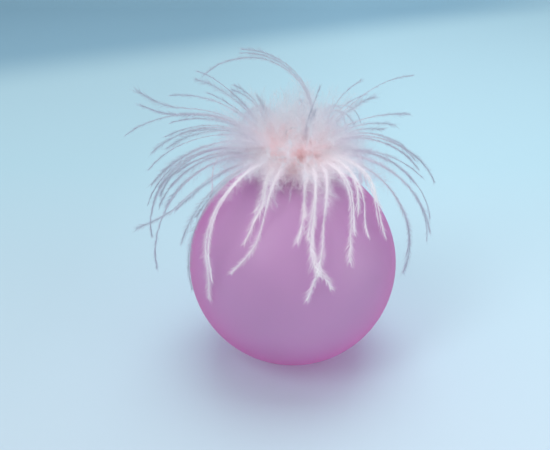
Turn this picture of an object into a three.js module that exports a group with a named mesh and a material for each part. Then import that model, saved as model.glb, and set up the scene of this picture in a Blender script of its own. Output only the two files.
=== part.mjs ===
// A frosted glass ball ornament with an ostrich-feather topper.
//
// A blown glass ball with a short neck carries a pressed metal cap. A spring-wire hanger is pushed
// through the cap into the neck: its eye stands above the cap and its two bowed legs grip the inside
// of the neck. A strip of feather fringe is glued round the cap, and its long flues arch up, out and
// down over the ball, with short down between.
//
// Millimetres, +Z up. The origin is the centre of the small flat that the ball stands on, on the
// neck's axis, and -Y is the ornament's front.
import * as THREE from "three";

// ---- driving dimensions -------------------------------------------------------------------------
const BALL_R = 50;
const GLASS_WALL = 1.0;
const REST_R = 7; // radius of the flat that the ball stands on
const NECK_R = 9;
const NECK_BORE_R = 8.1;
const NECK_HEIGHT = 8; // above the top of the sphere
const NECK_FILLET = 2.2; // how far the sphere's shoulder is drawn out round the neck
const LIP_ROUND = 0.25;
const GAP = 0.3; // air left between pieces that touch on the real ornament

const CAP_SHEET = 0.45;
const CAP_PLAY = 0.15; // so that the fluted skirt slips over the neck
const CAP_HEM_GAP = 0.6; // between the hem and the ball
const CAP_FLUTES = 16;
const FLUTE_DEPTH = 0.28;
const CAP_HOLE_R = 1.9;

const WIRE_R = 0.5;
const EYE_R = 3.9; // to the middle of the wire
const EYE_STEM = 2; // of wire between the cap and the eye
const LEG_LENGTH = 19; // below the cap's top

const GLUE_THICKNESS = 1.0;

const TAPE_THICKNESS = 0.7;
const TAPE_HEIGHT = 6;
const TAPE_TURNS = 1.25;
const TAPE_DROP = 0.6; // its top edge lies this far below the cap's top
const THREAD_R = 0.35;
const THREAD_TURNS = 3;

const FLUE_ROOT_R = 1.0; // a clump of flues is drawn together at its root
const FLUE_TIP_R = 0.45;
const FLUE_CLEAR = 1.6; // from the glass to the middle of a clump that lies on it
const TOUCH = 0.01; // nearer than this counts as touching
const DOWN_ROOT_R = 0.7;
const DOWN_R = 2.2;
const DOWN_LENGTH = 11;

// ---- places worked out from them ----------------------------------------------------------------
const BALL_Z = Math.sqrt(BALL_R ** 2 - REST_R ** 2); // the sphere's centre over the flat
const BALL_TOP_Z = BALL_Z + BALL_R;
const NECK_TOP_Z = BALL_TOP_Z + NECK_HEIGHT;
const CAP_BORE_R = NECK_R + GAP + FLUTE_DEPTH + CAP_PLAY;
const CAP_OUTER_R = CAP_BORE_R + CAP_SHEET;
const CAP_TOP_Z = NECK_TOP_Z + GAP + CAP_SHEET;
const CAP_HEM_Z = BALL_TOP_Z + CAP_HEM_GAP;
const GLUE_INNER_R = CAP_OUTER_R + FLUTE_DEPTH + GAP;
const GLUE_OUTER_R = GLUE_INNER_R + GLUE_THICKNESS;
const TAPE_INNER_R = GLUE_OUTER_R + GAP;
const TAPE_PITCH = TAPE_THICKNESS + GAP;
const TAPE_OUTER_R = TAPE_INNER_R + TAPE_THICKNESS + TAPE_PITCH * TAPE_TURNS;
const TAPE_TOP_Z = CAP_TOP_Z - TAPE_DROP;
const EYE_Z = CAP_TOP_Z + EYE_STEM + EYE_R;

const radians = THREE.MathUtils.degToRad;

// ---- materials ----------------------------------------------------------------------------------
const standard = (color, roughness, metalness = 0) =>
  new THREE.MeshStandardMaterial({ color, roughness, metalness });

const MATERIALS = {
  glass: standard(0xc07ab4, 0.4),
  cap: standard(0xd9b6ae, 0.3, 1),
  wire: standard(0xb9bcc2, 0.3, 1),
  glue: standard(0xe8dcd6, 0.35),
  tape: standard(0xe6a9a4, 0.9),
  thread: standard(0xf0c9c4, 0.8),
  feather: standard(0xe7d3dd, 0.9),
  down: standard(0xefb9b4, 0.95),
};

const ornament = new THREE.Group();
ornament.name = "feather_topped_ball";

function add(name, geometry, material) {
  const mesh = new THREE.Mesh(geometry, material);
  mesh.name = name;
  ornament.add(mesh);
  return mesh;
}

// ---- shape helpers ------------------------------------------------------------------------------

// Points of an arc of a circle centred on the axis at height z. Angles are measured up from the
// downward axis.
function arc(z, radius, from, to, steps) {
  return Array.from({ length: steps + 1 }, (_, i) => {
    const angle = from + ((to - from) * i) / steps;
    return new THREE.Vector2(radius * Math.sin(angle), z - radius * Math.cos(angle));
  });
}

// Turns a profile of (radius, height) points about +Z.
function turned(profile, segments) {
  return new THREE.LatheGeometry(profile, segments).rotateX(Math.PI / 2);
}

function roundSection(radius, sides) {
  const outline = Array.from({ length: sides }, (_, i) => {
    const angle = (2 * Math.PI * i) / sides;
    return new THREE.Vector2(radius * Math.cos(angle), radius * Math.sin(angle));
  });
  return new THREE.Shape(outline);
}

// A closed tube of constant radius along a curve.
function tube(curve, radius, sides, steps) {
  return new THREE.ExtrudeGeometry(roundSection(radius, sides), { steps, extrudePath: curve });
}

// A closed tube whose radius follows radiusAt(0..1) from the first point to the last.
function taperedTube(points, radiusAt, sides, steps) {
  const curve = new THREE.CatmullRomCurve3(points);
  const geometry = tube(curve, 1, sides, steps);
  const spine = curve.getSpacedPoints(steps);
  const position = geometry.getAttribute("position");
  const vertex = new THREE.Vector3();
  for (let i = 0; i < position.count; i++) {
    vertex.fromBufferAttribute(position, i);
    let nearest = 0;
    for (let k = 1; k < spine.length; k++) {
      if (vertex.distanceTo(spine[k]) < vertex.distanceTo(spine[nearest])) nearest = k;
    }
    vertex.sub(spine[nearest]).multiplyScalar(radiusAt(nearest / steps)).add(spine[nearest]);
    position.setXYZ(i, vertex.x, vertex.y, vertex.z);
  }
  return geometry;
}

// ---- glass ball ---------------------------------------------------------------------------------

// A thin shell: the flat, the sphere, a fillet into the neck, a rolled lip, and back down inside.
function glassBall() {
  const filletR = NECK_R + NECK_FILLET;
  const innerR = BALL_R - GLASS_WALL;
  const flatInnerR = Math.sqrt(innerR ** 2 - (BALL_Z - GLASS_WALL) ** 2);
  const restAngle = Math.asin(REST_R / BALL_R);
  const innerRestAngle = Math.asin(flatInnerR / innerR);
  const neckAngle = Math.PI - Math.asin(filletR / BALL_R);
  const boreAngle = Math.PI - Math.asin(NECK_BORE_R / innerR);
  const fillet = new THREE.QuadraticBezierCurve(
    new THREE.Vector2(filletR, BALL_Z + Math.sqrt(BALL_R ** 2 - filletR ** 2)),
    new THREE.Vector2(NECK_R, BALL_TOP_Z - 0.6),
    new THREE.Vector2(NECK_R, BALL_TOP_Z + 1.6),
  );
  const outside = arc(BALL_Z, BALL_R, restAngle, neckAngle, 18);
  const inside = arc(BALL_Z, innerR, boreAngle, innerRestAngle, 13);
  const lip = [
    new THREE.Vector2(NECK_R, NECK_TOP_Z - 0.4),
    new THREE.Vector2(NECK_R - LIP_ROUND, NECK_TOP_Z),
    new THREE.Vector2(NECK_BORE_R + LIP_ROUND, NECK_TOP_Z),
    new THREE.Vector2(NECK_BORE_R, NECK_TOP_Z - 0.4),
  ];
  const profile = [
    new THREE.Vector2(0, 0),
    ...outside,
    ...fillet.getPoints(3).slice(1),
    ...lip,
    ...inside,
    new THREE.Vector2(0, GLASS_WALL),
  ];
  return turned(profile, 36);
}

// ---- cap ----------------------------------------------------------------------------------------

// A drawn crown of thin sheet: a raised boss round the hole, a rounded shoulder and a fluted,
// flared skirt.
function ornamentCap() {
  const shoulder = 1.2;
  const bossR = 4.2;
  const bossRise = 0.7;
  const flare = 0.5;
  const under = CAP_TOP_Z - CAP_SHEET;
  const profile = [
    new THREE.Vector2(CAP_HOLE_R, under + bossRise),
    new THREE.Vector2(bossR - 1, under + bossRise),
    new THREE.Vector2(bossR, under),
    new THREE.Vector2(CAP_BORE_R - shoulder + CAP_SHEET, under),
    new THREE.Vector2(CAP_BORE_R, under - shoulder + CAP_SHEET),
    new THREE.Vector2(CAP_BORE_R, CAP_HEM_Z + 1.5),
    new THREE.Vector2(CAP_BORE_R + flare, CAP_HEM_Z),
    new THREE.Vector2(CAP_OUTER_R + flare, CAP_HEM_Z),
    new THREE.Vector2(CAP_OUTER_R, CAP_HEM_Z + 1.5),
    new THREE.Vector2(CAP_OUTER_R, CAP_TOP_Z - shoulder),
    new THREE.Vector2(CAP_OUTER_R - shoulder, CAP_TOP_Z),
    new THREE.Vector2(bossR + CAP_SHEET, CAP_TOP_Z),
    new THREE.Vector2(bossR - 1 + CAP_SHEET, CAP_TOP_Z + bossRise),
    new THREE.Vector2(CAP_HOLE_R, CAP_TOP_Z + bossRise),
    new THREE.Vector2(CAP_HOLE_R, under + bossRise),
  ];
  return fluted(turned(profile, CAP_FLUTES * 3));
}

// Presses flutes into everything below the cap's shoulder, deepest at the hem.
function fluted(geometry) {
  const position = geometry.getAttribute("position");
  for (let i = 0; i < position.count; i++) {
    const x = position.getX(i);
    const y = position.getY(i);
    const radius = Math.hypot(x, y);
    const depth = THREE.MathUtils.smoothstep(CAP_TOP_Z - position.getZ(i), 1, 4) * FLUTE_DEPTH;
    const scale = 1 + (depth * Math.cos(CAP_FLUTES * Math.atan2(y, x))) / radius;
    position.setXY(i, x * scale, y * scale);
  }
  return geometry;
}

// ---- hanger wire --------------------------------------------------------------------------------

// One length of spring wire: up a bowed leg, through the cap's hole, round the eye and down the
// other leg.
function hangerWire() {
  const bowR = NECK_BORE_R - WIRE_R - GAP;
  const stem = 0.8;
  const leg = [
    new THREE.Vector3(-bowR + 1.2, 0, CAP_TOP_Z - LEG_LENGTH),
    new THREE.Vector3(-bowR + 0.1, 0, CAP_TOP_Z - LEG_LENGTH * 0.68),
    new THREE.Vector3(-bowR + 1.1, 0, CAP_TOP_Z - LEG_LENGTH * 0.36),
    new THREE.Vector3(-stem - 1.2, 0, CAP_TOP_Z - 2.2),
    new THREE.Vector3(-stem, 0, CAP_TOP_Z + 0.3),
  ];
  const eye = [];
  const opening = Math.asin(stem / EYE_R);
  const EYE_POINTS = 12;
  for (let i = 0; i <= EYE_POINTS; i++) {
    const angle = opening + ((2 * Math.PI - 2 * opening) * i) / EYE_POINTS;
    eye.push(new THREE.Vector3(-EYE_R * Math.sin(angle), 0, EYE_Z - EYE_R * Math.cos(angle)));
  }
  const otherLeg = leg.map((p) => new THREE.Vector3(-p.x, p.y, p.z)).reverse();
  return tube(new THREE.CatmullRomCurve3([...leg, ...eye, ...otherLeg]), WIRE_R, 6, 60);
}

// ---- what holds the feathers --------------------------------------------------------------------

// A ring of set glue that fills the space between the fluted cap and the tape.
function glueBead() {
  const top = TAPE_TOP_Z - 0.8;
  const bottom = TAPE_TOP_Z - TAPE_HEIGHT + 1.2;
  const middle = (top + bottom) / 2;
  const profile = [
    new THREE.Vector2(GLUE_INNER_R, bottom),
    new THREE.Vector2(GLUE_OUTER_R - 0.3, bottom),
    new THREE.Vector2(GLUE_OUTER_R, middle),
    new THREE.Vector2(GLUE_OUTER_R - 0.3, top),
    new THREE.Vector2(GLUE_INNER_R, top),
    new THREE.Vector2(GLUE_INNER_R, bottom),
  ];
  return turned(profile, 32);
}

// The fringe's woven header, a flat tape wound round the cap in a spiral whose ends overlap.
function headerTape() {
  const steps = 40;
  const spiral = (extra) =>
    Array.from({ length: steps + 1 }, (_, i) => {
      const turn = (TAPE_TURNS * i) / steps;
      const radius = TAPE_INNER_R + TAPE_PITCH * turn + extra;
      const angle = 2 * Math.PI * turn;
      return new THREE.Vector2(radius * Math.cos(angle), radius * Math.sin(angle));
    });
  const outline = new THREE.Shape([...spiral(TAPE_THICKNESS), ...spiral(0).reverse()]);
  const geometry = new THREE.ExtrudeGeometry(outline, { depth: TAPE_HEIGHT, bevelEnabled: false });
  return geometry.translate(0, 0, TAPE_TOP_Z - TAPE_HEIGHT);
}

// Sewing thread whipped round the tape to bind the fringe to the cap.
function bindingThread() {
  const radius = TAPE_OUTER_R + GAP + THREAD_R;
  const pitch = 2 * THREAD_R + GAP;
  const start = TAPE_TOP_Z - TAPE_HEIGHT + 0.8;
  const steps = THREAD_TURNS * 16;
  const points = Array.from({ length: steps + 1 }, (_, i) => {
    const turn = (THREAD_TURNS * i) / steps;
    const height = start + pitch * turn;
    const angle = 2 * Math.PI * turn;
    return new THREE.Vector3(radius * Math.cos(angle), radius * Math.sin(angle), height);
  });
  return tube(new THREE.CatmullRomCurve3(points), THREAD_R, 6, steps);
}

// ---- feathers -----------------------------------------------------------------------------------

// Follows a flue from its root. Headings are compass directions in plan, in degrees: 0 is +X and 270
// is the front. A flue leaves at the elevation launch and bends to the elevation tip over the share
// bend of its length; a tip past 90 leans it back over the crown. It swings round by swing on the
// way. Its last part can flick up or veer round. Where it meets the ball it lies along the glass,
// standing off it by clear.
function fluePath({ ring, heading, swing, length, launch, tip, ...shape }) {
  const { bend = 1, flick = 0, veer = 0, clear = FLUE_CLEAR } = shape;
  const steps = 40;
  const at = onRing(ring, heading);
  const points = [at.clone()];
  for (let i = 0; i < steps; i++) {
    const share = (i + 0.5) / steps;
    const late = THREE.MathUtils.smoothstep(share, 0.55, 1);
    const bent = Math.min(1, share / bend);
    const bearing = heading + swing * share + veer * late;
    const elevation = THREE.MathUtils.lerp(launch, tip, bent) + flick * late;
    stepOverGlass(at, direction(bearing, elevation), length / steps, BALL_R + clear);
    if (i % 4 === 3) points.push(at.clone());
  }
  return points;
}

// Moves a point by distance along way. A point on the sphere of radius nearest round the ball's
// centre, or inside it, slides along that sphere.
function stepOverGlass(point, way, distance, nearest) {
  const centre = new THREE.Vector3(0, 0, BALL_Z);
  const outward = point.clone().sub(centre).normalize();
  const touching = point.distanceTo(centre) < nearest + TOUCH;
  if (touching && way.dot(outward) < 0) way.projectOnPlane(outward).normalize();
  point.addScaledVector(way, distance);
  const fromCentre = point.clone().sub(centre);
  if (fromCentre.length() < nearest) point.copy(centre).add(fromCentre.setLength(nearest));
}

function onRing({ radius, z }, heading) {
  return direction(heading, 0).setLength(radius).setZ(z);
}

function direction(heading, elevation) {
  const across = Math.cos(radians(elevation));
  return new THREE.Vector3(
    across * Math.cos(radians(heading)),
    across * Math.sin(radians(heading)),
    Math.sin(radians(elevation)),
  );
}

function longFeather(row) {
  const radiusAt = (share) => THREE.MathUtils.lerp(FLUE_ROOT_R, FLUE_TIP_R, share);
  return taperedTube(fluePath(row), radiusAt, 5, 10);
}

// A short fat tuft of down that stands between the long flues.
function downTuft(heading) {
  const root = onRing(DOWN, heading);
  const points = [0, 0.5, 1].map((share) =>
    root.clone().addScaledVector(direction(heading, 82), share * DOWN_LENGTH),
  );
  const swell = (share) => Math.sin(Math.PI * (0.1 + 0.85 * share));
  const radiusAt = (share) => THREE.MathUtils.lerp(DOWN_ROOT_R, DOWN_R, swell(share));
  return taperedTube(points, radiusAt, 7, 5);
}

// Where a flue leaves the fringe: from the tape's outer face, over its top edge, or from inside
// the ring.
const THREAD_OUTER_R = TAPE_OUTER_R + GAP + 2 * THREAD_R;
const SKIRT = { radius: THREAD_OUTER_R + GAP + FLUE_ROOT_R, z: TAPE_TOP_Z - 1 };
const RIM = { radius: TAPE_OUTER_R - 1, z: TAPE_TOP_Z + GAP + FLUE_ROOT_R + 1.5 };
const CROWN = { radius: 6.5, z: CAP_TOP_Z + 2.6 };
const DOWN = { radius: 10.2, z: CAP_TOP_Z + 1.2 };

// Rows of fluePath's arguments.
const LONG_FEATHERS = [
  // draped over the ball, from its left side round the front to its right
  { ring: SKIRT, heading: 184, swing: 12, length: 74, launch: 22, tip: -96 },
  { ring: SKIRT, heading: 194, swing: 14, length: 80, launch: 8, tip: -96 },
  { ring: SKIRT, heading: 203, swing: -4, length: 56, launch: 26, tip: -62 },
  { ring: SKIRT, heading: 212, swing: -2, length: 64, launch: 4, tip: -60, flick: 45 },
  { ring: SKIRT, heading: 221, swing: 0, length: 76, launch: 6, tip: -96 },
  { ring: SKIRT, heading: 230, swing: -24, length: 80, launch: 10, tip: -98, bend: 0.75, veer: 60 },
  { ring: SKIRT, heading: 245, swing: -44, length: 42, launch: 10, tip: -74, bend: 0.35, veer: -10 },
  { ring: SKIRT, heading: 255, swing: -60, length: 58, launch: 10, tip: -64, bend: 0.35, veer: -60 },
  { ring: SKIRT, heading: 282, swing: -60, length: 39, launch: 10, tip: -76, bend: 0.35 },
  { ring: SKIRT, heading: 291, swing: -84, length: 62, launch: 10, tip: -68, bend: 0.35, veer: 180 },
  { ring: SKIRT, heading: 302, swing: -130, length: 68, launch: 14, tip: -72, bend: 0.4, clear: 3.8 },
  { ring: SKIRT, heading: 312, swing: -20, length: 54, launch: 18, tip: -76, bend: 0.5, veer: -120 },
  { ring: SKIRT, heading: 321, swing: -14, length: 46, launch: 22, tip: -80, bend: 0.6, veer: -60 },
  { ring: SKIRT, heading: 331, swing: -10, length: 50, launch: 20, tip: -74, bend: 0.6 },
  { ring: SKIRT, heading: 340, swing: -14, length: 74, launch: 4, tip: -106 },
  { ring: SKIRT, heading: 349, swing: -14, length: 68, launch: 8, tip: -90 },
  { ring: SKIRT, heading: 358, swing: -18, length: 64, launch: 14, tip: -76 },
  // thrown out to the left
  { ring: RIM, heading: 216, swing: -12, length: 60, launch: 36, tip: -46 },
  { ring: RIM, heading: 205, swing: -12, length: 60, launch: 42, tip: -42 },
  { ring: RIM, heading: 194, swing: -8, length: 54, launch: 44, tip: -42 },
  { ring: RIM, heading: 183, swing: -2, length: 66, launch: 46, tip: -38 },
  { ring: RIM, heading: 172, swing: 2, length: 64, launch: 44, tip: -40, flick: 65 },
  { ring: RIM, heading: 161, swing: 2, length: 50, launch: 52, tip: -6 },
  { ring: RIM, heading: 150, swing: 2, length: 50, launch: 56, tip: 6 },
  { ring: RIM, heading: 138, swing: 4, length: 33, launch: 72, tip: 20 },
  // thrown out to the right
  { ring: RIM, heading: 340, swing: 2, length: 58, launch: 38, tip: -66 },
  { ring: RIM, heading: 352, swing: 2, length: 46, launch: 40, tip: -48 },
  { ring: RIM, heading: 5, swing: 2, length: 42, launch: 42, tip: -14 },
  { ring: RIM, heading: 19, swing: 0, length: 54, launch: 56, tip: -4 },
  { ring: RIM, heading: 34, swing: 0, length: 34, launch: 58, tip: 16 },
  // the back
  { ring: RIM, heading: 56, swing: 6, length: 54, launch: 40, tip: -60 },
  { ring: RIM, heading: 84, swing: -6, length: 48, launch: 44, tip: -50 },
  { ring: RIM, heading: 112, swing: 4, length: 56, launch: 38, tip: -64 },
  { ring: SKIRT, heading: 26, swing: 30, length: 60, launch: 14, tip: -80, bend: 0.5, veer: -60 },
  { ring: SKIRT, heading: 56, swing: -30, length: 50, launch: 14, tip: -76, bend: 0.45 },
  { ring: SKIRT, heading: 86, swing: 30, length: 64, launch: 12, tip: -76, bend: 0.4, veer: -90 },
  { ring: SKIRT, heading: 118, swing: -20, length: 52, launch: 14, tip: -80, bend: 0.45, veer: 60 },
  { ring: SKIRT, heading: 150, swing: 10, length: 66, launch: 14, tip: -88, bend: 0.6 },
  // standing up from the middle
  { ring: CROWN, heading: 5, swing: 0, length: 76, launch: 70, tip: 216 },
  { ring: CROWN, heading: 306, swing: 30, length: 30, launch: 78, tip: 60 },
];

const DOWN_HEADINGS = [0, 36, 72, 108, 144, 180, 216, 252, 288, 324];

// ---- assembly -----------------------------------------------------------------------------------
add("glass_ball", glassBall(), MATERIALS.glass);
add("ornament_cap", ornamentCap(), MATERIALS.cap);
add("hanger_wire", hangerWire(), MATERIALS.wire);
add("glue_bead", glueBead(), MATERIALS.glue);
add("header_tape", headerTape(), MATERIALS.tape);
add("binding_thread", bindingThread(), MATERIALS.thread);

const numbered = (stem, i) => `${stem}_${String(i + 1).padStart(2, "0")}`;
LONG_FEATHERS.forEach((row, i) => {
  add(numbered("long_feather", i), longFeather(row), MATERIALS.feather);
});
DOWN_HEADINGS.forEach((heading, i) => {
  add(numbered("down_tuft", i), downTuft(heading), MATERIALS.down);
});

export default ornament;
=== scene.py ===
"""Looks for a feather-topped glass ball: satin glass, pressed cap, wire hanger and a topper of ostrich flues.

Metres, +Z up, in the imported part's own frame. The feathers are placed from the CAD nodes: each long one
follows the centreline of its own node, and each tuft of down grows from the foot of its node.
"""

import math
from collections import defaultdict

import bpy
import numpy as np
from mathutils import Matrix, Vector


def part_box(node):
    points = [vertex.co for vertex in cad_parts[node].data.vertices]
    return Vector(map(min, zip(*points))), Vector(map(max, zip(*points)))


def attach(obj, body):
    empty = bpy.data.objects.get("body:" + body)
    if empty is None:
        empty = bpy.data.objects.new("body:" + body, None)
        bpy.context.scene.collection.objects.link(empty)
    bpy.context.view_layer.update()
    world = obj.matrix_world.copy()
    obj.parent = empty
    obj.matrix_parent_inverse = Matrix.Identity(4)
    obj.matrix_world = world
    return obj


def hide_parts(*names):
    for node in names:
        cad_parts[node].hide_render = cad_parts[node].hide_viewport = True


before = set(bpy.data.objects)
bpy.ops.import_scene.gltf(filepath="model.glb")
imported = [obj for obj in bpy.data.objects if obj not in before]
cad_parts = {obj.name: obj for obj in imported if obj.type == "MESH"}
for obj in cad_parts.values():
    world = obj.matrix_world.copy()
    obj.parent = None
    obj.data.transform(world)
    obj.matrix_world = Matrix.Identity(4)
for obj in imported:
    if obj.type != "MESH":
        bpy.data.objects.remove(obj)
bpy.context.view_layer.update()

MM = 0.001
SEED = 20

# ---- the part's own sizes, and places in its frame -----------------------------------------------
BALL_R = 50 * MM
WALL = 1.0 * MM
REST_R = 7 * MM  # the small flat that the ball stands on
NECK_R = 9 * MM
NECK_BORE_R = 8.1 * MM
NECK_FILLET = 2.2 * MM
BALL_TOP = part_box("glass_ball")[1][2]
BALL_Z = math.sqrt(BALL_R**2 - REST_R**2)
BALL_CENTRE = np.array([0.0, 0.0, BALL_Z])
TOPPER_CENTRE = np.array([0.0, 0.0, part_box("ornament_cap")[1][2]])

# ---- camera --------------------------------------------------------------------------------------
VIEW_DOWN = math.radians(27)
LENS_MM = 42.5
CLIP_START = 0.01
CAMERA_PLACE = (-8.5 * MM, -276.2 * MM, 210.2 * MM)


def add_camera():
    camera = bpy.data.objects.new("camera", bpy.data.cameras.new("camera"))
    camera.data.lens = LENS_MM
    camera.data.clip_start = CLIP_START
    camera.location = CAMERA_PLACE
    camera.rotation_euler = (math.pi / 2 - VIEW_DOWN, 0, 0)
    bpy.context.scene.collection.objects.link(camera)
    bpy.context.scene.camera = camera


# ---- node helpers --------------------------------------------------------------------------------
MIX_FACTOR, MIX_FIRST, MIX_SECOND = 0, 6, 7  # the inputs of a Mix node that mixes colours
MIX_COLOUR = 2  # and its output


def new_material(name):
    """A material with an empty node tree, and functions that add and link its nodes."""
    material = bpy.data.materials.new(name)
    material.use_nodes = True
    tree = material.node_tree
    tree.nodes.clear()

    def add(kind, **settings):
        node = tree.nodes.new("ShaderNode" + kind)
        for key, value in settings.items():
            if key in node.inputs:
                node.inputs[key].default_value = value
            else:
                setattr(node, key, value)
        return node

    return material, add, tree.links.new


def finish_material(add, link, shader):
    link(shader, add("OutputMaterial").inputs["Surface"])


def noise(add, link, scale, detail):
    """Noise that stays with the object. A larger scale makes finer spots."""
    node = add("TexNoise", Scale=scale, Detail=detail)
    link(add("TexCoord").outputs["Object"], node.inputs["Vector"])
    return node.outputs["Fac"]


def bumped(add, link, height, strength, distance):
    node = add("Bump", Strength=strength, Distance=distance)
    link(height, node.inputs["Height"])
    return node.outputs["Normal"]


def ramp(add, link, factor, *stops):
    """A colour ramp over factor. Each stop is (position, linear colour)."""
    node = add("ValToRGB")
    elements = node.color_ramp.elements
    while len(elements) < len(stops):
        elements.new(0.5)
    for element, (position, colour) in zip(elements, stops):
        element.position = position
        element.color = (*colour, 1)
    link(factor, node.inputs["Fac"])
    return node.outputs["Color"]


def rescaled(add, link, value, low, high, to_low=0.0, to_high=1.0, smooth=False):
    """Takes value from low..high to to_low..to_high, and holds it at those ends outside them."""
    node = add("MapRange", interpolation_type="SMOOTHSTEP" if smooth else "LINEAR")
    ends = {"From Min": low, "From Max": high, "To Min": to_low, "To Max": to_high}
    for name, number in ends.items():
        node.inputs[name].default_value = number
    link(value, node.inputs["Value"])
    return node.outputs["Result"]


def mix_colours(add, link, factor, first, second):
    """From first, an output, to second, a plain colour, as factor goes from 0 to 1."""
    node = add("Mix", data_type="RGBA")
    link(factor, node.inputs[MIX_FACTOR])
    link(first, node.inputs[MIX_FIRST])
    node.inputs[MIX_SECOND].default_value = (*second, 1)
    return node.outputs[MIX_COLOUR]


def with_translucence(add, link, shader, colour, share):
    """A shader of which this share is replaced by light that comes through from behind."""
    through = add("BsdfTranslucent")
    link(colour, through.inputs["Color"])
    mix = add("MixShader", Fac=share)
    link(shader, mix.inputs[1])
    link(through.outputs["BSDF"], mix.inputs[2])
    return mix.outputs["Shader"]


def with_light_shadow(add, link, shader, tint, share=1.0):
    """A shader whose shadow is light: this share of what falls on it goes straight through, tinted."""
    passes = add("LightPath").outputs["Is Shadow Ray"]
    if share < 1:
        part = add("Math", operation="MULTIPLY")
        part.inputs[1].default_value = share
        link(passes, part.inputs[0])
        passes = part.outputs["Value"]
    clear = add("BsdfTransparent")
    clear.inputs["Color"].default_value = (*tint, 1)
    mix = add("MixShader")
    link(passes, mix.inputs[0])
    link(shader, mix.inputs[1])
    link(clear.outputs["BSDF"], mix.inputs[2])
    return mix.outputs["Shader"]


# ---- materials -----------------------------------------------------------------------------------
def glass_material():
    """Satin glass, stained pink, and more deeply at its limb, where light crosses more of the wall."""
    material, add, link = new_material("satin_pink_glass")
    cloud = noise(add, link, 22.0, 2.0)
    body = ramp(add, link, cloud, (0.3, (0.74, 0.52, 0.76)), (0.7, (0.79, 0.56, 0.80)))
    limb = rescaled(add, link, add("LayerWeight", Blend=0.4).outputs["Facing"], 0.2, 0.95, smooth=True)
    stain = mix_colours(add, link, limb, body, (0.80, 0.24, 0.61))
    skin = add("BsdfPrincipled", Roughness=0.42, IOR=1.45)
    skin.inputs["Transmission Weight"].default_value = 0.4
    skin.inputs["Coat Weight"].default_value = 0.35
    skin.inputs["Coat Roughness"].default_value = 0.4
    link(stain, skin.inputs["Base Color"])
    etch = noise(add, link, 2600.0, 2.0)
    link(bumped(add, link, etch, 0.12, 0.04 * MM), skin.inputs["Normal"])
    glass = with_translucence(add, link, skin.outputs["BSDF"], stain, 0.35)
    finish_material(add, link, with_light_shadow(add, link, glass, (0.72, 0.48, 0.57)))
    return material


def metal_material(name, dark, light, roughness):
    """Thin bright metal with fine drawing marks and a few duller patches."""
    material, add, link = new_material(name)
    patches = noise(add, link, 160.0, 4.0)
    metal = add("BsdfPrincipled", Metallic=1.0)
    link(ramp(add, link, patches, (0.35, dark), (0.65, light)), metal.inputs["Base Color"])
    worn = rescaled(add, link, patches, 0.0, 1.0, roughness, roughness + 0.2)
    link(worn, metal.inputs["Roughness"])
    marks = noise(add, link, 1800.0, 2.0)
    link(bumped(add, link, marks, 0.15, 0.05 * MM), metal.inputs["Normal"])
    finish_material(add, link, metal.outputs["BSDF"])
    return material


def glue_material():
    """Set glue: milky, glossy and a little lumpy."""
    material, add, link = new_material("set_glue")
    lumps = noise(add, link, 300.0, 2.0)
    glue = add("BsdfPrincipled", Roughness=0.25, IOR=1.48)
    glue.inputs["Subsurface Weight"].default_value = 0.4
    glue.inputs["Subsurface Radius"].default_value = (0.002, 0.0015, 0.001)
    milky = ramp(add, link, lumps, (0.3, (0.62, 0.50, 0.42)), (0.7, (0.78, 0.70, 0.62)))
    link(milky, glue.inputs["Base Color"])
    link(bumped(add, link, lumps, 0.5, 0.3 * MM), glue.inputs["Normal"])
    finish_material(add, link, glue.outputs["BSDF"])
    return material


def woven_material(name, dark, light, rib_scale):
    """Dyed cotton, with the ribs of its weave and a little fuzz."""
    material, add, link = new_material(name)
    rib = add("TexWave", wave_type="BANDS", bands_direction="Z", Scale=rib_scale, Distortion=1.5)
    link(add("TexCoord").outputs["Object"], rib.inputs["Vector"])
    fuzz = noise(add, link, 900.0, 3.0)
    height = add("Math", operation="ADD")
    link(rib.outputs["Fac"], height.inputs[0])
    link(fuzz, height.inputs[1])
    cloth = add("BsdfPrincipled", Roughness=0.9)
    cloth.inputs["Sheen Weight"].default_value = 0.4
    link(ramp(add, link, fuzz, (0.3, dark), (0.7, light)), cloth.inputs["Base Color"])
    link(bumped(add, link, height.outputs["Value"], 0.6, 0.15 * MM), cloth.inputs["Normal"])
    finish_material(add, link, cloth.outputs["BSDF"])
    return material


FEATHER_MAP = "OFBake"  # u runs along a flue from root to tip, and v out along a barbule
ROOT_COLOUR_REACH = 0.8  # how far out along a barbule the root's colour goes


def feather_material(name, root, body, tip, depth, translucence=0.62):
    """Dyed feather, translucent as hair is. root colours the first depth of a flue, next to its shaft.
    The ramp from body to tip can also hold painted light or painted shade, as in the long flues' two copies.
    """
    material, add, link = new_material(name)
    place = add("SeparateXYZ")
    link(add("UVMap", uv_map=FEATHER_MAP).outputs["UV"], place.inputs["Vector"])
    along, out = place.outputs["X"], place.outputs["Y"]
    deep = add("Math", operation="MULTIPLY")
    link(rescaled(add, link, along, 0.0, depth, 1.0, 0.0, smooth=True), deep.inputs[0])
    link(rescaled(add, link, out, 0.0, ROOT_COLOUR_REACH, 1.0, 0.0, smooth=True), deep.inputs[1])
    # for the long flues the tip colour is painted: light in the white copy, shade in the lilac copy
    outer = ramp(add, link, along, (0.1, body), (0.8, tip))
    flue_colour = mix_colours(add, link, deep.outputs["Value"], outer, root)
    strand = add("BsdfPrincipled", Roughness=0.75)
    strand.inputs["Specular IOR Level"].default_value = 0.25
    link(flue_colour, strand.inputs["Base Color"])
    hair = with_translucence(add, link, strand.outputs["BSDF"], flue_colour, translucence)
    finish_material(add, link, with_light_shadow(add, link, hair, (1.0, 0.93, 0.94), 0.6))
    return material


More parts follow.
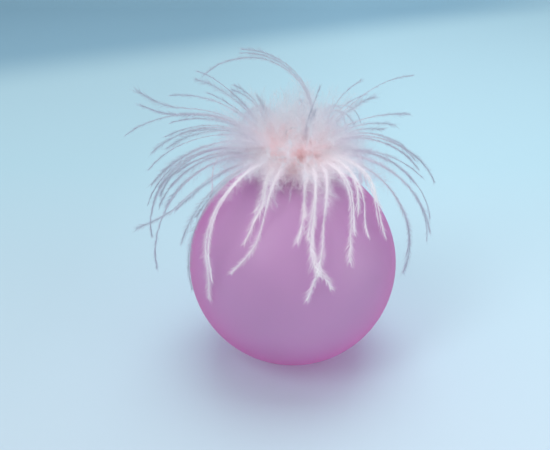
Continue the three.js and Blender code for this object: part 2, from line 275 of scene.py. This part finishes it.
# ---- mesh helpers --------------------------------------------------------------------------------
def add_mesh(name, points, quads, maps=None, material=None):
    """A mesh object from arrays: points (n, 3), quads (m, 4) and each point's (u, v) on the feather map."""
    mesh = bpy.data.meshes.new(name)
    mesh.vertices.add(len(points))
    mesh.vertices.foreach_set("co", np.asarray(points, np.float32).ravel())
    mesh.loops.add(quads.size)
    mesh.loops.foreach_set("vertex_index", quads.astype(np.int32).ravel())
    mesh.polygons.add(len(quads))
    mesh.polygons.foreach_set("loop_start", np.arange(0, quads.size, 4, dtype=np.int32))
    mesh.polygons.foreach_set("use_smooth", np.ones(len(quads), bool))
    mesh.update(calc_edges=True)
    if maps is not None:
        layer = mesh.uv_layers.new(name=FEATHER_MAP)
        layer.data.foreach_set("uv", maps[quads.ravel()].astype(np.float32).ravel())
    if material is not None:
        mesh.materials.append(material)
    mesh.validate()
    thing = bpy.data.objects.new(name, mesh)
    bpy.context.scene.collection.objects.link(thing)
    return thing


def turned(name, profile, segments, material):
    """A closed profile of (radius, height) points, first and last on the axis, turned about +Z.

    Its two ends are flat, so each is one face, with no point at its middle.
    """
    angles = np.linspace(0, 2 * math.pi, segments, endpoint=False)
    circle = np.column_stack([np.cos(angles), np.sin(angles), np.zeros(segments)])
    rings = [r * circle + [0, 0, z] for r, z in profile[1:-1]]
    columns = np.arange(segments)
    following = np.roll(columns, -1)
    faces = []
    for row in range(len(rings) - 1):
        a, b = row * segments, (row + 1) * segments
        faces += np.column_stack([a + columns, a + following, b + following, b + columns]).tolist()
    faces.append(columns[::-1].tolist())
    faces.append((columns + (len(rings) - 1) * segments).tolist())
    mesh = bpy.data.meshes.new(name)
    mesh.from_pydata(np.vstack(rings).tolist(), [], faces)
    mesh.shade_smooth()
    mesh.materials.append(material)
    thing = bpy.data.objects.new(name, mesh)
    bpy.context.scene.collection.objects.link(thing)
    return thing


def arc(centre_z, radius, start, end, steps):
    """(radius, height) points of an arc about a point on the axis, with angles from straight down."""
    angles = np.linspace(start, end, steps + 1)
    return np.column_stack([radius * np.sin(angles), centre_z - radius * np.cos(angles)])


WELD_DISTANCE = 0.005 * MM


def smooth_cad(node, material, levels=2):
    """Keeps a CAD piece as it is, rounds its facets with modifiers and gives it a material."""
    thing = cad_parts[node]
    weld = thing.modifiers.new("weld", "WELD")
    weld.merge_threshold = WELD_DISTANCE
    rounding = thing.modifiers.new("rounding", "SUBSURF")
    rounding.levels = rounding.render_levels = levels
    thing.data.shade_smooth()
    for place in thing.material_slots:
        place.material = material


# ---- glass ball ----------------------------------------------------------------------------------
GLASS_SEGMENTS = 160
OUTSIDE_STEPS = 90
INSIDE_STEPS = 60
FILLET_STEPS = 8
LIP_POINTS = 9
FILLET_AIM = -0.6 * MM  # from a full ball's top to the point on the neck that the fillet bends towards
FILLET_END = 1.6 * MM  # and from there to where the fillet ends on the neck


def neck_fillet():
    """The curve from the outside of the ball up into its neck, after its first point, on the ball."""
    foot = NECK_R + NECK_FILLET
    full_top = BALL_Z + BALL_R
    start = np.array([foot, BALL_Z + math.sqrt(BALL_R**2 - foot**2)])
    bend = np.array([NECK_R, full_top + FILLET_AIM])
    end = np.array([NECK_R, full_top + FILLET_END])
    shares = np.arange(1, FILLET_STEPS + 1) / FILLET_STEPS
    return [(1 - t) ** 2 * start + 2 * t * (1 - t) * bend + t**2 * end for t in shares]


def neck_lip():
    """The round lip on top of the neck, from its outside to its bore."""
    middle = (NECK_R + NECK_BORE_R) / 2
    half = (NECK_R - NECK_BORE_R) / 2
    turns = np.linspace(0, math.pi, LIP_POINTS)
    return [(middle + half * math.cos(a), BALL_TOP - half + half * math.sin(a)) for a in turns]


def build_glass_ball():
    """The blown shell, turned finely enough that neither its outline nor its neck shows a facet."""
    inner_r = BALL_R - WALL
    inner_rest_r = math.sqrt(inner_r**2 - (BALL_Z - WALL) ** 2)
    fillet_at = math.pi - math.asin((NECK_R + NECK_FILLET) / BALL_R)
    bore_at = math.pi - math.asin(NECK_BORE_R / inner_r)
    outside = arc(BALL_Z, BALL_R, math.asin(REST_R / BALL_R), fillet_at, OUTSIDE_STEPS)
    inside = arc(BALL_Z, inner_r, bore_at, math.asin(inner_rest_r / inner_r), INSIDE_STEPS)
    profile = [(0, 0), *outside, *neck_fillet(), *neck_lip(), *inside, (0, WALL)]
    ball = turned("frosted_glass_ball", profile, GLASS_SEGMENTS, glass_material())
    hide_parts("glass_ball")
    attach(ball, "ball")


# ---- curves --------------------------------------------------------------------------------------
SECTION_SIDES = 5  # a CAD feather is a tube of five-sided sections
ACROSS_IF_UPRIGHT = np.array([1.0, 0.0, 0.0])  # for a path that starts straight up


def unit(vectors):
    return vectors / np.maximum(np.linalg.norm(vectors, axis=-1, keepdims=True), 1e-12)


def centreline(node):
    """The centres of a CAD feather's sections, from its thick root to its tip."""
    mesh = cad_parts[node].data
    corners = np.array([v.co for v in mesh.vertices])
    points, index = np.unique(np.round(corners, 6), axis=0, return_inverse=True)
    index = index.ravel()
    beside = defaultdict(set)
    for edge in mesh.edges:
        a, b = index[edge.vertices[0]], index[edge.vertices[1]]
        beside[a].add(b)
        beside[b].add(a)

    def steps_from(seeds):
        """How many edges each point is from the nearest seed."""
        steps = {seed: 0 for seed in seeds}
        front = list(seeds)
        while front:
            following = []
            for at in front:
                for near in beside[at]:
                    if near not in steps:
                        steps[near] = steps[at] + 1
                        following.append(near)
            front = following
        return steps

    from_anywhere = steps_from([0])
    end_point = points[max(from_anywhere, key=from_anywhere.get)]
    end_section = np.argsort(np.linalg.norm(points - end_point, axis=1))[:SECTION_SIDES]
    steps = steps_from([int(i) for i in end_section])
    count = max(steps.values()) + 1
    sections = [points[[i for i, step in steps.items() if step == k]] for k in range(count)]
    centres = np.array([section.mean(axis=0) for section in sections])
    first_width, last_width = (np.ptp(sections[k], axis=0).max() for k in (0, -1))
    return centres if first_width > last_width else centres[::-1]


def resampled(points, count):
    """A smooth curve through points, as count evenly spaced points."""
    chords = np.linalg.norm(np.diff(points, axis=0), axis=1)
    knots = np.concatenate([[0], np.cumsum(chords)])
    slopes = np.gradient(points, knots, axis=0)
    at = np.linspace(0, knots[-1], count)
    span = np.clip(np.searchsorted(knots, at, side="right") - 1, 0, len(points) - 2)
    width = (knots[span + 1] - knots[span])[:, None]
    t = (at - knots[span])[:, None] / width
    return (
        (2 * t**3 - 3 * t**2 + 1) * points[span]
        + (t**3 - 2 * t**2 + t) * width * slopes[span]
        + (3 * t**2 - 2 * t**3) * points[span + 1]
        + (t**3 - t**2) * width * slopes[span + 1]
    )


def side_frames(path):
    """At each point of a path, its tangent and two directions square to it that turn as little as can be."""
    tangents = unit(np.gradient(path, axis=0))
    across = np.zeros_like(path)
    start = np.cross(tangents[0], [0.0, 0.0, 1.0])
    across[0] = unit(start if np.linalg.norm(start) > 1e-3 else ACROSS_IF_UPRIGHT)
    for i in range(1, len(path)):
        across[i] = unit(across[i - 1] - tangents[i] * (across[i - 1] @ tangents[i]))
    return tangents, across, np.cross(tangents, across)


def along_path(path, share):
    """Points at each share of a path, from 0 to 1, and the number of the path's point before each."""
    at = share * (len(path) - 1)
    low = np.minimum(at.astype(int), len(path) - 2)
    part = (at - low)[:, None]
    return path[low] * (1 - part) + path[low + 1] * part, low


def off_the_ball(points, clear):
    """Points inside the glass, or nearer to it than clear, are pushed straight out to clear."""
    from_centre = points - BALL_CENTRE
    distance = np.linalg.norm(from_centre, axis=-1, keepdims=True)
    nearest = BALL_R + clear
    return np.where(distance < nearest, BALL_CENTRE + from_centre * nearest / distance, points)


# ---- strands -------------------------------------------------------------------------------------
SHAFT_CORNERS = (0.3, 2.4, 4.5)  # the angles of a shaft's three corners
SHAFT_V = [0.01, 0.02, 0.03]  # and their v on the feather map, below that of any barbule
BARBULE_SHARES = np.array([0.0, 0.35, 0.7, 1.0])  # where a barbule's ribbon has its cross lines
BARBULE_TAPER = np.array([1.0, 0.85, 0.6, 0.12])  # and how wide it is there
FLUFF_WIDTH = 0.035 * MM


class Strands:
    """Collects the shafts and barbules of one piece as thin tubes and ribbons."""

    def __init__(self):
        self.points = []
        self.quads = []
        self.maps = []
        self.count = 0

    def add(self, points, quads, maps):
        self.points.append(points)
        self.quads.append(quads + self.count)
        self.maps.append(maps)
        self.count += len(points)

    def shaft(self, path, root_radius, tip_radius):
        """A thin three-sided tube along a path."""
        _, across, up = side_frames(path)
        n = len(path)
        radius = np.linspace(root_radius, tip_radius, n)[:, None]
        rings = [path + radius * (math.cos(a) * across + math.sin(a) * up) for a in SHAFT_CORNERS]
        points = np.stack(rings, axis=1).reshape(-1, 3)
        rows = np.arange(n - 1)[:, None] * 3
        here = np.arange(3)[None, :]
        beside = (here + 1) % 3
        quads = np.stack([rows + here, rows + beside, rows + 3 + beside, rows + 3 + here], -1)
        along = np.repeat(np.linspace(0, 1, n), 3)
        self.add(points, quads.reshape(-1, 4), np.column_stack([along, np.tile(SHAFT_V, n)]))

    def barbules(self, roots, leave, arrive, lengths, width, along, random, clear, flat_side=0.0):
        """Tapering ribbons that leave each root in one direction, curl round to another and clear the glass.

        flat_side is how much they turn their flat side away from the ball, and 0 leaves them turned anyhow.
        """
        t = BARBULE_SHARES[None, :, None]
        reach = lengths[:, None, None]
        curl = leave[:, None, :] * (t - t**2 / 2) + arrive[:, None, :] * t**2 / 2
        line = off_the_ball(roots[:, None, :] + reach * curl, clear)
        facing = random.normal(size=roots.shape) + flat_side * unit(roots - BALL_CENTRE)
        flat = unit(np.cross(leave, facing))[:, None, :]
        half = (width / 2) * BARBULE_TAPER[None, :, None] * flat
        points = np.stack([line - half, line + half], axis=2).reshape(-1, 3)
        n = len(roots)
        lines = len(BARBULE_SHARES)
        first = (np.arange(n) * 2 * lines)[:, None, None]
        line_start = (np.arange(lines - 1) * 2)[None, :, None]
        quads = first + line_start + np.array([0, 1, 3, 2])[None, None, :]
        u = np.repeat(along, 2 * lines)
        v = np.tile(np.repeat(BARBULE_SHARES, 2), n)
        self.add(points, quads.reshape(-1, 4), np.column_stack([u, 0.05 + 0.9 * v]))

    def build(self, name, material):
        """The collected strands as one object. Its u is kept off the edges of the feather map."""
        maps = np.vstack(self.maps)
        maps[:, 0] = 0.005 + 0.99 * np.clip(maps[:, 0], 0, 1)
        return add_mesh(name, np.vstack(self.points), np.vstack(self.quads), maps, material)


def add_vane(strands, path, random, reach, lean, per_mm, width, twist, clear, flat_side=0.0):
    """A row of barbules on either side of a path.

    reach lists (share of the path, length), and lean (share, degrees between a barbule and the shaft).
    """
    length = np.linalg.norm(np.diff(path, axis=0), axis=1).sum()
    tangents, across, up = side_frames(path)
    count = max(6, int(length / MM * per_mm))
    turn = random.random() * 6
    ragged = random.uniform(14, 30)
    droop = np.array([0, 0, -0.1])
    for side in (-1, 1):
        share = (np.arange(count) + random.random(count)) / count
        roots, low = along_path(path, share)
        forward = tangents[low]
        roll = twist * np.sin(share * 4 + turn) + random.normal(0, 0.3, count)
        outward = side * (np.cos(roll)[:, None] * across[low] + np.sin(roll)[:, None] * up[low])
        angle = np.radians(np.interp(share, *zip(*lean)) + random.normal(0, 8, count))[:, None]
        leave = unit(np.sin(angle) * outward + np.cos(angle) * forward)
        arrive = unit(leave + 0.5 * forward + random.normal(0, 0.25, (count, 3)) + droop)
        lengths = np.interp(share, *zip(*reach)) * random.uniform(0.4, 1.25, count)
        lengths *= 1 + 0.25 * np.sin(ragged * share + turn + side)
        strands.barbules(roots, leave, arrive, lengths, width, share, random, clear, flat_side)


def add_fluff(strands, path, random, count, reach, end, clear):
    """Loose down all round the root of a flue, up to the share end of its path."""
    share = end * random.random(count) ** 1.2
    roots, low = along_path(path, share)
    forward = side_frames(path)[0][low]
    outward = unit(roots * [1, 1, 0])
    droop = np.array([0, 0, -0.2])
    leave = unit(random.normal(0, 0.8, (count, 3)) + 0.35 * forward + 0.3 * outward)
    arrive = unit(leave + random.normal(0, 0.9, (count, 3)) + droop)
    lengths = reach * random.uniform(0.4, 1.1, count) * (1 - 0.4 * share / end)
    strands.barbules(roots, leave, arrive, lengths, FLUFF_WIDTH, share, random, clear)


# ---- long feathers -------------------------------------------------------------------------------
CENTRELINE_POINTS = 60
FLUE_POINTS = 40
END_POINTS = 8  # how many of the centreline's points are its end
LIES_ON_GLASS = 8 * MM  # a clump whose end is nearer to the glass than this lies on it
BARBULE_CLEAR = 0.4 * MM  # between the barbules and the glass
SHAFT_CLEAR = BARBULE_CLEAR + 0.3 * MM

# The two kinds of clump. Flues that lie on the glass turn their flat side out and show the full width of
# their fluffy tips, and take the copy of the feather colour whose white tips are painted light. Free ones are
# finer, turn anyhow, and take the copy whose greyer tips are painted shade.
#   flues: the fewest and the most in a clump; spread: how far they part at their tips
#   per_mm, width, twist, flat_side: as add_vane takes them
#   tip_mm: the shortest and the longest that barbules are near a tip
#   root_barbs: (share of the flue, length); tip_barbs: (share, part of the length near the tip)
#   lean: (share of the flue, degrees); shaft: radius at the root and at the tip
ON_GLASS = {
    "flues": (1, 3),
    "spread": 2.6 * MM,
    "per_mm": 4.8,
    "width": 0.11 * MM,
    "twist": 0.35,
    "flat_side": 2.0,
    "tip_mm": (2.9, 4.2),
    "root_barbs": ((0, 1.5 * MM), (0.35, 1.0 * MM)),
    "tip_barbs": ((0.55, 0.6), (0.85, 1.15), (1, 0.8)),
    "lean": ((0, 60), (0.4, 52), (0.7, 48), (1, 32)),
    "shaft": (0.16 * MM, 0.10 * MM),
}
FREE = {
    "flues": (2, 4),
    "spread": 4.5 * MM,
    "per_mm": 7.0,
    "width": 0.09 * MM,
    "twist": 0.7,
    "flat_side": 0.0,
    "tip_mm": (2.0, 3.4),
    "root_barbs": ((0, 1.5 * MM), (0.3, 1.2 * MM)),
    "tip_barbs": ((0.6, 0.9), (0.85, 1.2), (1, 1)),
    "lean": ((0, 55), (0.4, 46), (0.7, 42), (1, 28)),
    "shaft": (0.12 * MM, 0.06 * MM),
}
# Loose down in a clump: how many barbules, how long, and up to what share of the flue they grow.
ROOT_FLUFF = (1400, 12 * MM, 0.42)
COLLAR_FLUFF = (700, 8 * MM, 0.06)


def clump_paths(path, flues, spread, random, clear):
    """Flues that leave one root together and part towards their tips. The first runs the whole length."""
    _, across, up = side_frames(path)
    n = len(path)
    share = np.linspace(0, 1, n)
    phase = random.random() * 2 * math.pi
    paths = []
    for k in range(flues):
        angle = phase + 2 * math.pi * k / flues + random.normal(0, 0.4)
        away = spread * random.uniform(0.4, 1.1) * share**1.4
        wave = 0.9 * MM * np.sin(share * random.uniform(4, 9) + random.random() * 6) * share
        offset = (away * math.cos(angle) + wave)[:, None] * across + (away * math.sin(angle))[:, None] * up
        reach = 1.0 if k == 0 else random.uniform(0.55, 0.95)
        strand = off_the_ball(path + offset, clear)
        paths.append(resampled(strand[: max(4, round(n * reach))], FLUE_POINTS))
    return paths


def build_long_feather(node, index, free_colour_with_painted_shade, glass_colour_with_painted_light):
    """A clump of flues along the node's centreline."""
    random = np.random.default_rng(SEED + index)
    path = resampled(centreline(node), CENTRELINE_POINTS)
    off_glass = np.linalg.norm(path[-END_POINTS:] - BALL_CENTRE, axis=1).mean() - BALL_R
    # on the glass a clump takes the copy with painted light in its tips, a free clump the copy with painted
    # shade
    look, flue_colour = (ON_GLASS, glass_colour_with_painted_light) if off_glass < LIES_ON_GLASS else (FREE, free_colour_with_painted_shade)
    fewest, most = look["flues"]
    flues = random.integers(fewest, most + 1)
    vane = [look[key] for key in ("lean", "per_mm", "width", "twist")]
    strands = Strands()
    for strand in clump_paths(path, flues, look["spread"], random, SHAFT_CLEAR):
        tip = random.uniform(*look["tip_mm"]) * MM
        reach = [*look["root_barbs"], *((share, part * tip) for share, part in look["tip_barbs"])]
        strands.shaft(strand, *look["shaft"])
        add_vane(strands, strand, random, reach, *vane, BARBULE_CLEAR, look["flat_side"])
        for count, length, end in (ROOT_FLUFF, COLLAR_FLUFF):
            add_fluff(strands, strand, random, count // flues, length, end, BARBULE_CLEAR)
    feather = strands.build(node.replace("long_feather", "flue_clump"), flue_colour)
    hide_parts(node)
    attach(feather, "cap")


# ---- down ----------------------------------------------------------------------------------------
TUFT_SEED = SEED + 500
TUFT_FLUES = 44
TUFT_POINTS = 12  # in the path of each flue
TUFT_INSET = 0.92  # how far out a tuft's root is, as a part of how far out the middle of its node is
TUFT_LOWEST = -28  # degrees above level of its lowest flue
TUFT_RISE = 118  # and from there to its highest
TUFT_SHORTEST = 22  # millimetres from the topper's centre to the end of its shortest flue
TUFT_LONGER = 22  # and how much further the longest goes
TUFT_FLATTEN = 0.70  # the height of the dome, as a part of a round one's
TUFT_BULGE = 3 * MM
TUFT_SHAFT = (0.04 * MM, 0.02 * MM)
TUFT_BARBS = [(0, 4 * MM), (0.4, 6 * MM), (1, 2.5 * MM)]
TUFT_LEAN = [(0, 75), (1, 50)]
TUFT_VANE = (3.5, 0.04 * MM, 2.0)  # per_mm, width and twist, as add_vane takes them
TUFT_FLUFF = (60, 7 * MM, 0.95)
TUFT_SHAFT_CLEAR = 0.8 * MM  # between the flues of the down and the glass
DOWN_CLEAR = 0.5 * MM  # and between their barbules and the glass

NEST_FIBRES = 2000
NEST_R = 15.2 * MM
NEST_DROP = 6.5 * MM
NEST_WIDTH = 0.06 * MM
NEST_U = 0.14  # where on the feather map the nest takes its colour


def add_nest(strands, heading, random):
    """Short down over one tuft's share of the cap and tape, standing on top and hanging at the side."""
    count = NEST_FIBRES
    turn = heading + random.uniform(-0.4, 0.4, count)
    at_side = random.random(count) < 0.5
    radius = np.where(at_side, NEST_R, NEST_R * np.sqrt(random.uniform(0.05, 1, count)))
    below = np.where(at_side, random.uniform(0, NEST_DROP, count), -0.5 * MM)
    outward = np.column_stack([np.cos(turn), np.sin(turn), np.zeros(count)])
    roots = outward * radius[:, None] + [0, 0, TOPPER_CENTRE[2]]
    roots[:, 2] -= below
    rise = np.where(at_side, random.normal(-0.3, 0.5, count), random.normal(1.2, 0.6, count))[:, None]
    leave = unit(outward + rise * [0, 0, 1] + random.normal(0, 0.35, (count, 3)))
    arrive = unit(leave + random.normal(0, 0.5, (count, 3)) + [0, 0, -0.4])
    lengths = np.where(at_side, random.uniform(5, 12, count), random.uniform(6, 13, count)) * MM
    along = np.full(count, NEST_U)
    strands.barbules(roots, leave, arrive, lengths, NEST_WIDTH, along, random, DOWN_CLEAR)


def build_down_tuft(node, index, flue_colour):
    """Short downy flues from one root, that end all over their share of a dome which hides the cap."""
    random = np.random.default_rng(TUFT_SEED + index)
    low, high = (np.array(corner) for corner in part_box(node))
    middle = (low + high) / 2
    root = np.array([middle[0] * TUFT_INSET, middle[1] * TUFT_INSET, low[2]])
    heading = math.atan2(middle[1], middle[0])
    outward = np.array([math.cos(heading), math.sin(heading), 0.0])
    share = np.linspace(0, 1, TUFT_POINTS)[:, None]
    strands = Strands()
    for _ in range(TUFT_FLUES):
        rise = math.radians(TUFT_LOWEST + TUFT_RISE * random.random() ** 1.15)
        turn = heading + random.normal(0, 0.6)
        reach = (TUFT_SHORTEST + TUFT_LONGER * random.random() ** 1.6) * MM
        level = math.cos(rise)
        aim = np.array([level * math.cos(turn), level * math.sin(turn), TUFT_FLATTEN * math.sin(rise)])
        start = root + random.normal(0, 1.2, 3) * MM
        end = TOPPER_CENTRE + reach * aim
        bulge = start + 0.5 * (end - start) + TUFT_BULGE * outward + random.normal(0, 2.0, 3) * MM
        path = (1 - share) ** 2 * start + 2 * share * (1 - share) * bulge + share**2 * end
        path = off_the_ball(path, TUFT_SHAFT_CLEAR)
        strands.shaft(path, *TUFT_SHAFT)
        add_vane(strands, path, random, TUFT_BARBS, TUFT_LEAN, *TUFT_VANE, DOWN_CLEAR)
        add_fluff(strands, path, random, *TUFT_FLUFF, DOWN_CLEAR)
    add_nest(strands, heading, random)
    tuft = strands.build(node.replace("down_tuft", "fluffy_tuft"), flue_colour)
    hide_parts(node)
    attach(tuft, "cap")


# ---- stage and light -----------------------------------------------------------------------------
FLOOR_NEAR = (0.60, 0.72, 0.80)
FLOOR_MIDDLE = (0.51, 0.73, 0.81)
# the far colour is a painted shade, for the shaded fold far behind the ornament
FLOOR_FAR_PAINTED_SHADE = (0.30, 0.50, 0.62)
NEAR_START, NEAR_END = -0.15, 0.25  # along Y, between the near colour and the middle one
FAR_START, FAR_END = 0.68, 0.95  # and between the middle colour and the far one, which is a painted shade
FAR_SLANT = 0.62  # how fast the far colour draws back along X
SIDES_START, SIDES_END = -0.14, 0.14  # along X, between the side with painted shade and the side with painted light
SIDES_PAINTED_SHADE = (0.92, 1.05)

STAGE_HALF_WIDTH = 2.2
FLOOR_FRONT = -1.2
FLOOR_BACK = 1.1
BACKDROP_BEND_R = 0.4
BACKDROP_TOP = 2.2


def stage_material():
    """Plain pale blue-white with a faint gloss. It turns to a darker blue far behind the ornament, a painted
    shade, and it is darker on its left and lighter on its right, as painted shade and painted light.
    """
    material, add, link = new_material("pale_sweep")
    place = add("SeparateXYZ")
    link(add("TexCoord").outputs["Object"], place.inputs["Vector"])
    slanted = add("Math", operation="MULTIPLY_ADD")
    slanted.inputs[1].default_value = -FAR_SLANT
    link(place.outputs["X"], slanted.inputs[0])
    link(place.outputs["Y"], slanted.inputs[2])
    near = rescaled(add, link, place.outputs["Y"], NEAR_START, NEAR_END)
    far = rescaled(add, link, slanted.outputs["Value"], FAR_START, FAR_END, smooth=True)
    floor = ramp(add, link, near, (0.0, FLOOR_NEAR), (1.0, FLOOR_MIDDLE))
    shade = add("VectorMath", operation="SCALE")
    link(mix_colours(add, link, far, floor, FLOOR_FAR_PAINTED_SHADE), shade.inputs[0])
    sideways = rescaled(add, link, place.outputs["X"], SIDES_START, SIDES_END, *SIDES_PAINTED_SHADE)
    link(sideways, shade.inputs["Scale"])
    paper = add("BsdfPrincipled", Roughness=0.5)
    paper.inputs["Specular IOR Level"].default_value = 0.2
    link(shade.outputs["Vector"], paper.inputs["Base Color"])
    finish_material(add, link, paper.outputs["BSDF"])
    return material


def add_stage():
    """A wide flat floor that curves up into a backdrop far behind."""
    rows = [(FLOOR_FRONT, 0.0), (FLOOR_BACK, 0.0)]
    for a in np.linspace(0.1, math.pi / 2, 12):
        rows.append((FLOOR_BACK + BACKDROP_BEND_R * math.sin(a), BACKDROP_BEND_R * (1 - math.cos(a))))
    rows.append((FLOOR_BACK + BACKDROP_BEND_R, BACKDROP_TOP))
    points = np.array([(x, y, z) for y, z in rows for x in (-STAGE_HALF_WIDTH, STAGE_HALF_WIDTH)])
    quads = np.array([(2 * i, 2 * i + 1, 2 * i + 3, 2 * i + 2) for i in range(len(rows) - 1)])
    sweep = add_mesh("pale_sweep", points, quads, material=stage_material())


def add_softbox(name, place, aim, size, power, colour):
    light = bpy.data.objects.new(name, bpy.data.lights.new(name, "AREA"))
    light.data.shape = "RECTANGLE"
    light.data.size, light.data.size_y = size
    light.data.energy = power
    light.data.color = colour
    light.location = place
    towards = unit(np.array(aim) - np.array(place))
    yaw = math.atan2(towards[1], towards[0])
    light.rotation_euler = (math.acos(-towards[2]), 0, yaw - math.pi / 2)
    bpy.context.scene.collection.objects.link(light)


def add_light():
    add_softbox(
        "window_above",
        place=(0.12, 0.4, 1.6),
        aim=(0.1, 0, 0.05),
        size=(1.3, 1.3),
        power=14.8,
        colour=(0.98, 0.98, 1.0),
    )
    add_softbox(
        "tall_window_left",
        place=(-0.68, -0.62, 0.85),
        aim=(0, 0, 0.07),
        size=(0.35, 0.8),
        power=4.0,
        colour=(1.0, 0.99, 1.0),
    )
    add_softbox(
        "pale_wall_right",
        place=(0.85, -0.4, 0.22),
        aim=(0, 0, 0.05),
        size=(0.5, 0.35),
        power=1.5,
        colour=(1.0, 0.98, 1.0),
    )
    world = bpy.data.worlds.new("soft_room")
    world.use_nodes = True
    sky = world.node_tree.nodes["Background"]
    sky.inputs["Color"].default_value = (0.90, 0.95, 1.0, 1)
    sky.inputs["Strength"].default_value = 0.52
    bpy.context.scene.world = world
    bpy.context.scene.view_settings.view_transform = "Standard"


# ---- assembly ------------------------------------------------------------------------------------
def nodes_named(start):
    return sorted(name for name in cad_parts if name.startswith(start))


add_camera()
add_stage()
add_light()
build_glass_ball()

cap_metal = metal_material("rose_cap_metal", (0.82, 0.60, 0.54), (0.93, 0.73, 0.67), 0.25)
wire_metal = metal_material("spring_wire", (0.55, 0.56, 0.58), (0.72, 0.73, 0.75), 0.2)
tape_cloth = woven_material("salmon_tape", (0.55, 0.24, 0.20), (0.70, 0.36, 0.31), 80)
thread_cloth = woven_material("pale_thread", (0.66, 0.42, 0.38), (0.80, 0.56, 0.52), 260)
smooth_cad("ornament_cap", cap_metal)
smooth_cad("hanger_wire", wire_metal)
smooth_cad("glue_bead", glue_material())
smooth_cad("header_tape", tape_cloth, levels=1)
smooth_cad("binding_thread", thread_cloth, levels=1)

# lilac and white are two copies of one feather colour: greyer tips as painted shade, white tips as painted
# light
lilac = feather_material("lilac_flue_painted_shade", (0.98, 0.78, 0.77), (0.89, 0.87, 0.91), (0.60, 0.63, 0.70), 0.08)
white = feather_material("white_flue_painted_light", (0.98, 0.80, 0.79), (1.0, 0.97, 0.99), (1.0, 1.0, 1.0), 0.08, 0.3)
salmon = feather_material("salmon_down", (0.99, 0.66, 0.62), (0.97, 0.90, 0.92), (0.84, 0.87, 0.90), 0.4)
for number, name in enumerate(nodes_named("long_feather")):
    build_long_feather(name, number, free_colour_with_painted_shade=lilac, glass_colour_with_painted_light=white)
for number, name in enumerate(nodes_named("down_tuft")):
    build_down_tuft(name, number, salmon)
